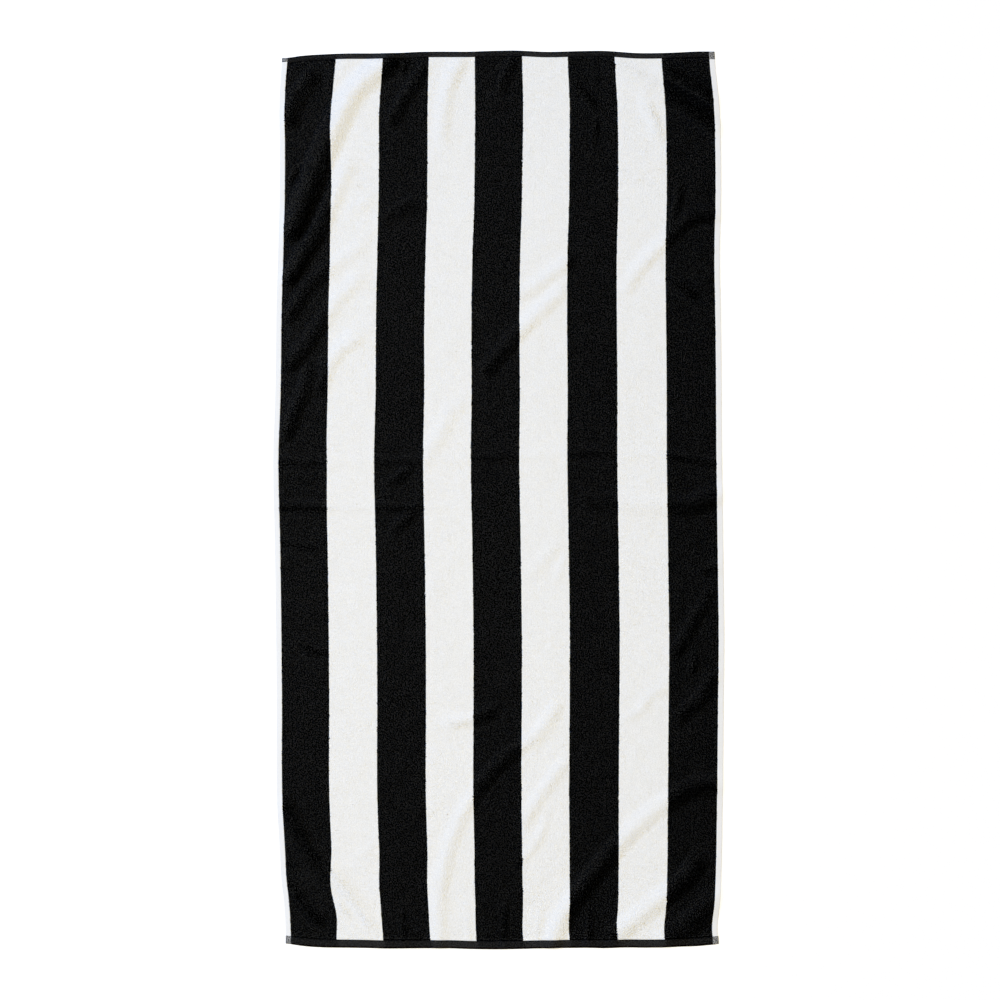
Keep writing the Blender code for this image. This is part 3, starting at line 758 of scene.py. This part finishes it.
def make_ground(materials):
    """The woven ground and its hems as one closed sheet."""
    across_lines, along_lines = cloth_lines()
    flat = bmesh.new()
    bmesh.ops.create_grid(flat, x_segments=len(across_lines) - 1,
                          y_segments=len(along_lines) - 1, size=0.5)
    bmesh.ops.solidify(flat, geom=flat.faces[:], thickness=-1.0)
    flat.faces.sort(key=lambda face: face.calc_center_median().dot(FACE_ORDER))
    mesh = bpy.data.meshes.new("towel_ground")
    flat.to_mesh(mesh)
    flat.free()
    corner = read_vectors(mesh.vertices, "co")
    column = np.rint((corner[:, 0] + 0.5) * (len(across_lines) - 1)).astype(int)
    row = np.rint((corner[:, 1] + 0.5) * (len(along_lines) - 1)).astype(int)
    top = corner[:, 2] > corner[:, 2].mean()
    across = across_lines[column]
    along = along_lines[row]
    x, y = lay_out(across, along)
    z = cloth_lift(x, y) + np.where(top, cloth_thickness(across, along), 0.0)
    mesh.vertices.foreach_set("co", np.column_stack((x, y, z)).ravel() * MM)
    loops = np.empty(len(mesh.loops), int)
    mesh.loops.foreach_get("vertex_index", loops)
    faces = loops.reshape(len(mesh.polygons), -1)
    middle_across = across[faces].mean(axis=1)
    middle_along = along[faces].mean(axis=1)
    mesh.polygons.foreach_set("material_index", finish_index(middle_across, middle_along))
    mesh.polygons.foreach_set("use_smooth", np.ones(len(faces), bool))
    # The hems' tone is painted shade at their edges and painted shadow of the pile at the sewn
    # channels, along with the end hems' own tone under each stripe.
    tone = mesh.attributes.new("tone", "FLOAT", "POINT")
    tone.data.foreach_set("value", cloth_tone(across, along))
    set_map(mesh, "cloth", np.column_stack((across / CLOTH_WIDTH, along / LENGTH))[loops])
    on_top = np.repeat(top[faces].any(axis=1), faces.shape[1])
    half = np.where(on_top, 0.0, 0.5)
    bake = np.column_stack((across[loops] / CLOTH_WIDTH / 2 + half, along[loops] / LENGTH))
    set_map(mesh, "OFBake", bake)
    mesh.update()
    for name in GROUND_FINISHES:
        mesh.materials.append(materials[name])
    return place_piece("towel_ground", mesh)


def read_vectors(items, name):
    values = np.empty(len(items) * 3)
    items.foreach_get(name, values)
    return values.reshape(-1, 3)


def set_map(mesh, name, places):
    """Give a mesh a map of its own."""
    layer = mesh.uv_layers.new(name=name)
    layer.data.foreach_set("uv", places.ravel())


def place_piece(name, mesh):
    """Link a piece and let it ride on the root."""
    piece = bpy.data.objects.new(name, mesh)
    bpy.context.scene.collection.objects.link(piece)
    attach(piece, "root")
    return piece


# ---- the pile ----------------------------------------------------------------

def tuft_shape():
    """One tuft: a small cone with its root at 0 and its tip at 1, as arrays."""
    shape = bmesh.new()
    bmesh.ops.create_cone(shape, cap_ends=True, segments=TUFT_SIDES, radius1=1.0,
                          radius2=0.0, depth=1.0)
    bmesh.ops.remove_doubles(shape, verts=shape.verts, dist=TUFT_WELD)
    bmesh.ops.translate(shape, verts=shape.verts, vec=(0.0, 0.0, 0.5))
    bmesh.ops.triangulate(shape, faces=shape.faces)
    return shape_arrays(shape)


def stitch_shape():
    """One stitch: a small lozenge of thread along X, as arrays."""
    shape = bmesh.new()
    bmesh.ops.create_icosphere(shape, subdivisions=1, radius=1.0)
    return shape_arrays(shape)


def shape_arrays(shape):
    shape.verts.index_update()
    corners = np.array([vert.co[:] for vert in shape.verts])
    faces = np.array([[vert.index for vert in face.verts] for face in shape.faces])
    shape.free()
    return corners, faces


SLOPE_STEP = 1.5             # mm, over which the cloth's slope is read

# Where many small shapes stand on the flat cloth, how each is turned and sized,
# how its tip leans, how far it stands off the ground, and its tone.
Spots = namedtuple("Spots", "across along turn length width height lean_x lean_y off tone")


def scatter(name, shape, spots, bake_places):
    """Join one small shape, repeated over the cloth, into a piece."""
    corners, faces = shape
    x, y = lay_out(spots.across, spots.along)
    lift = cloth_lift(x, y)
    slope_x = (cloth_lift(x + SLOPE_STEP, y) - lift) / SLOPE_STEP
    slope_y = (cloth_lift(x, y + SLOPE_STEP) - lift) / SLOPE_STEP
    cosine = np.cos(spots.turn)[:, None]
    sine = np.sin(spots.turn)[:, None]
    long = corners[:, 0] * spots.length[:, None]
    wide = corners[:, 1] * spots.width[:, None]
    high = corners[:, 2] * spots.height[:, None]
    side_x = long * cosine - wide * sine
    side_y = long * sine + wide * cosine
    local_x = side_x + high * (spots.lean_x - slope_x)[:, None]
    local_y = side_y + high * (spots.lean_y - slope_y)[:, None]
    base = lift + cloth_thickness(spots.across, spots.along) + spots.off
    z = base[:, None] + high + side_x * slope_x[:, None] + side_y * slope_y[:, None]
    places = np.stack((x[:, None] + local_x, y[:, None] + local_y, z), axis=-1)
    count = len(x)
    each = len(corners)
    loops = (faces[None] + (np.arange(count) * each)[:, None, None]).ravel()
    mesh = bpy.data.meshes.new(name)
    mesh.vertices.add(count * each)
    mesh.vertices.foreach_set("co", places.ravel() * MM)
    mesh.loops.add(len(loops))
    mesh.loops.foreach_set("vertex_index", loops)
    mesh.polygons.add(count * len(faces))
    mesh.polygons.foreach_set("loop_start", np.arange(0, len(loops), faces.shape[1]))
    mesh.polygons.foreach_set("use_smooth", np.ones(count * len(faces), bool))
    tone = mesh.attributes.new("tone", "FLOAT", "POINT")
    tone.data.foreach_set("value", np.repeat(spots.tone, each))
    flat = np.stack((spots.across[:, None] + local_x, spots.along[:, None] + local_y), axis=-1)
    flat = flat.reshape(-1, 2)
    set_map(mesh, "cloth", (flat / (CLOTH_WIDTH, LENGTH))[loops])
    set_map(mesh, "OFBake", bake_places(flat, np.repeat(spots.along, each))[loops])
    mesh.update(calc_edges=True)
    return place_piece(name, mesh)


BAKE_ROWS = 4                # a stripe's map is cut in four lengths side by side


def stripe_map(start, end):
    """Pack a stripe's length into a square map."""
    run = (LENGTH - TOP_HEM - BOTTOM_HEM) / BAKE_ROWS
    margin = TUFT_ACROSS

    def places(flat, centre_along):
        segment = np.clip((centre_along - BOTTOM_HEM) // run, 0, BAKE_ROWS - 1)
        across = (flat[:, 0] - start + margin) / (end - start + 2 * margin)
        along = (flat[:, 1] - BOTTOM_HEM - segment * run + margin) / (run + 2 * margin)
        spot = np.column_stack(((segment + np.clip(across, 0, 1)) / BAKE_ROWS, along))
        return np.clip(spot, 0.0, 1.0)

    return places


def pile_spots(pile, start, end, dice):
    """Tufts in columns along a stripe, as the warp carries its loops.

    The outermost columns sway a few loops at a time, and no single loop of theirs
    strays into the next stripe.
    """
    columns = round((end - start) / TUFT_ACROSS)
    low = BOTTOM_HEM
    high = LENGTH - TOP_HEM
    rows = round((high - low) / TUFT_ALONG)
    column, row = np.meshgrid(np.arange(columns), np.arange(rows), indexing="ij")
    shape = column.shape
    sway = dice.uniform(-1, 1, shape) * TUFT_JITTER
    slip = dice.uniform(-1, 1, shape) * TUFT_JITTER + dice.uniform(0, 1, (columns, 1))
    sway[[0, -1]] = 0.0
    across = start + (column + 0.5 + sway) * (end - start) / columns
    along = low + (row + slip) * (high - low) / rows
    along = low + PILE_MARGIN + (along - low) % (high - low - 2 * PILE_MARGIN)
    for border in (0, -1):
        steps = dice.uniform(-BORDER_SWAY, BORDER_SWAY, rows)
        across[border] += np.repeat(steps, BORDER_RUN)[:rows]
    size = dice.uniform(*TUFT_SIZES, shape) * pile.radius
    tone = (0.5 + dice.normal(0, pile.tone, shape)
            + dice.normal(0, pile.column, (columns, 1)))
    return Spots(
        across=across.ravel(),
        along=along.ravel(),
        turn=dice.uniform(0, math.tau, shape).ravel(),
        length=size.ravel(),
        width=(size * dice.uniform(*TUFT_FLATNESS, shape)).ravel(),
        height=(pile.root + pile.tip * (1 + dice.uniform(-1, 1, shape) * pile.height)).ravel(),
        lean_x=dice.normal(0, pile.lean, shape).ravel(),
        lean_y=dice.normal(0, pile.lean, shape).ravel(),
        off=np.full(column.size, -pile.root),
        tone=np.clip(tone, 0.0, 1.0).ravel(),
    )


def make_pile(materials):
    """Nine stripes of looped pile, black and white by turns."""
    shape = tuft_shape()
    pieces = []
    for index, (start, end) in enumerate(zip(STRIPE_EDGES[:-1], STRIPE_EDGES[1:])):
        pile = WHITE_LOOPS if index % 2 else BLACK_LOOPS
        dice = np.random.default_rng(PILE_SEED + index)
        piece = scatter(f"pile_{pile.shade}_{index // 2 + 1}", shape,
                        pile_spots(pile, start, end, dice), stripe_map(start, end))
        piece.data.materials.append(materials[f"{pile.shade} pile"])
        pieces.append(piece)
    return pieces


# ---- the sewing --------------------------------------------------------------

STITCH_PITCH = 3.2
STITCH_LENGTH = 2.3
STITCH_WIDTH = 0.7
STITCH_HEIGHT = 0.5
STITCH_SEED = 23
STITCH_INSET = 1.3           # of the row from a hem's inner edge
STITCH_RISE = 0.1            # of its middle above the cloth
STITCH_STRAY = 0.08          # from the line of its row
STITCH_TURN = 0.12           # out of that line, in radians
STITCH_SIZES = (0.9, 1.1)    # shortest and longest, as a share of its length
STITCH_TONES = (0.3, 0.7)    # darkest and lightest


def whole_map(flat, centre_along):
    return np.clip(flat / (CLOTH_WIDTH, LENGTH), 0.0, 1.0)


def stitch_row(start, end, along_x, place, dice):
    """A row of stitches from start to end, across or along the cloth."""
    count = round((end - start) / STITCH_PITCH)
    run = start + (np.arange(count) + 0.5) * (end - start) / count
    other = place + dice.normal(0, STITCH_STRAY, count)
    across, along = (run, other) if along_x else (other, run)
    turn = dice.normal(0, STITCH_TURN, count) + (0.0 if along_x else math.pi / 2)
    return Spots(
        across=across,
        along=along,
        turn=turn,
        length=dice.uniform(*STITCH_SIZES, count) * STITCH_LENGTH / 2,
        width=np.full(count, STITCH_WIDTH / 2),
        height=np.full(count, STITCH_HEIGHT / 2),
        lean_x=np.zeros(count),
        lean_y=np.zeros(count),
        off=np.full(count, STITCH_RISE),
        tone=dice.uniform(*STITCH_TONES, count),
    )


def make_sewing(materials):
    """Rows of stitches that hold the hems."""
    shape = stitch_shape()
    dice = np.random.default_rng(STITCH_SEED)
    low = BOTTOM_HEM
    high = LENGTH - TOP_HEM
    first = STRIPE_EDGES[0]
    last = STRIPE_EDGES[-1]
    rows = (
        ("stitches_bottom", "black thread", stitch_row(first, last, True, low - STITCH_INSET,
                                                       dice)),
        ("stitches_top", "black thread", stitch_row(first, last, True, high + STITCH_INSET,
                                                    dice)),
        ("stitches_left", "white thread", stitch_row(low, high, False, first - STITCH_INSET,
                                                     dice)),
        ("stitches_right", "white thread", stitch_row(low, high, False, last + STITCH_INSET,
                                                      dice)),
    )
    pieces = []
    for name, thread, spots in rows:
        piece = scatter(name, shape, spots, whole_map)
        piece.data.materials.append(materials[thread])
        pieces.append(piece)
    return pieces


# ---- the studio --------------------------------------------------------------

def add_lamp(lamp):
    """A soft round lamp, turned a little aside so that its light falls off evenly."""
    bearing = math.radians(lamp.bearing)
    height = math.radians(lamp.height)
    place = lamp.distance * Vector((
        math.cos(height) * math.cos(bearing),
        math.cos(height) * math.sin(bearing),
        math.sin(height),
    ))
    facing = Vector((*lamp.aim, 0.0)) - place
    off_axis = facing.normalized().dot(-place.normalized())
    light = bpy.data.lights.new(lamp.name, "AREA")
    light.shape = "DISK"
    light.size = lamp.width
    received = max(lamp.level_light) * math.pi / math.sin(height)
    light.energy = received * math.pi * lamp.distance ** 2 / off_axis
    light.color = [share / max(lamp.level_light) for share in lamp.level_light]
    piece = bpy.data.objects.new(lamp.name, light)
    piece.location = place
    piece.rotation_euler = facing.to_track_quat("-Z", "Y").to_euler()
    bpy.context.scene.collection.objects.link(piece)
    return piece


def share_light(lamps, black_pieces):
    """Let each lamp light the black stripes alone, or all but them.

    The photograph's blacks are neutral, while the folds of its white stripes are
    blue on one side and warm on the other.
    """
    for spec, lamp in zip(LAMPS, lamps):
        lit = bpy.data.collections.new(f"Lit by {spec.name}")
        for piece in black_pieces:
            lit.objects.link(piece)
        if not spec.on_black:
            for entry in lit.collection_objects:
                entry.light_linking.link_state = "EXCLUDE"
        lamp.light_linking.receiver_collection = lit


def add_room():
    """Even light from all round."""
    world = bpy.data.worlds.new("Pale room")
    world.use_nodes = True
    background = world.node_tree.nodes["Background"]
    background.inputs["Color"].default_value = (*ROOM_LIGHT, 1.0)
    background.inputs["Strength"].default_value = 1.0
    bpy.context.scene.world = world


def add_floor():
    """A plain white table top that the towel lies on."""
    shape = bmesh.new()
    bmesh.ops.create_grid(shape, x_segments=1, y_segments=1, size=FLOOR_SIDE / 2)
    mesh = bpy.data.meshes.new("Floor")
    shape.to_mesh(mesh)
    shape.free()
    floor = bpy.data.objects.new("Floor", mesh)
    bpy.context.scene.collection.objects.link(floor)
    material, shader = new_material("White table")
    shader.inputs["Base Color"].default_value = (*FLOOR_COLOUR, 1.0)
    shader.inputs["Roughness"].default_value = FLOOR_ROUGHNESS
    shader.inputs["Specular IOR Level"].default_value = 0.0
    shader.inputs["Emission Color"].default_value = (1.0, 1.0, 1.0, 1.0)
    shader.inputs["Emission Strength"].default_value = FLOOR_GLOW
    mesh.materials.append(material)
    floor.location.z = -FLOOR_DROP


def make_materials():
    """Every finish of the towel by its name."""
    return {
        "black pile": pile_material(BLACK_PILE),
        "white pile": pile_material(WHITE_PILE),
        "black ground": ground_material(BLACK_GROUND),
        "white ground": ground_material(WHITE_GROUND),
        "side weave": weave_material(SIDE_WEAVE),
        "end weave": weave_material(END_WEAVE),
        "corner weave": weave_material(CORNER_WEAVE),
        "black thread": pile_material(BLACK_THREAD),
        "white thread": pile_material(WHITE_THREAD),
    }


def main():
    look_down()
    set_print()
    add_room()
    lamps = [add_lamp(lamp) for lamp in LAMPS]
    add_floor()
    materials = make_materials()
    ground = make_ground(materials)
    pile = make_pile(materials)
    share_light(lamps, [piece for piece in pile if "black" in piece.name])
    others = pile + make_sewing(materials)
    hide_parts("towel")


main()
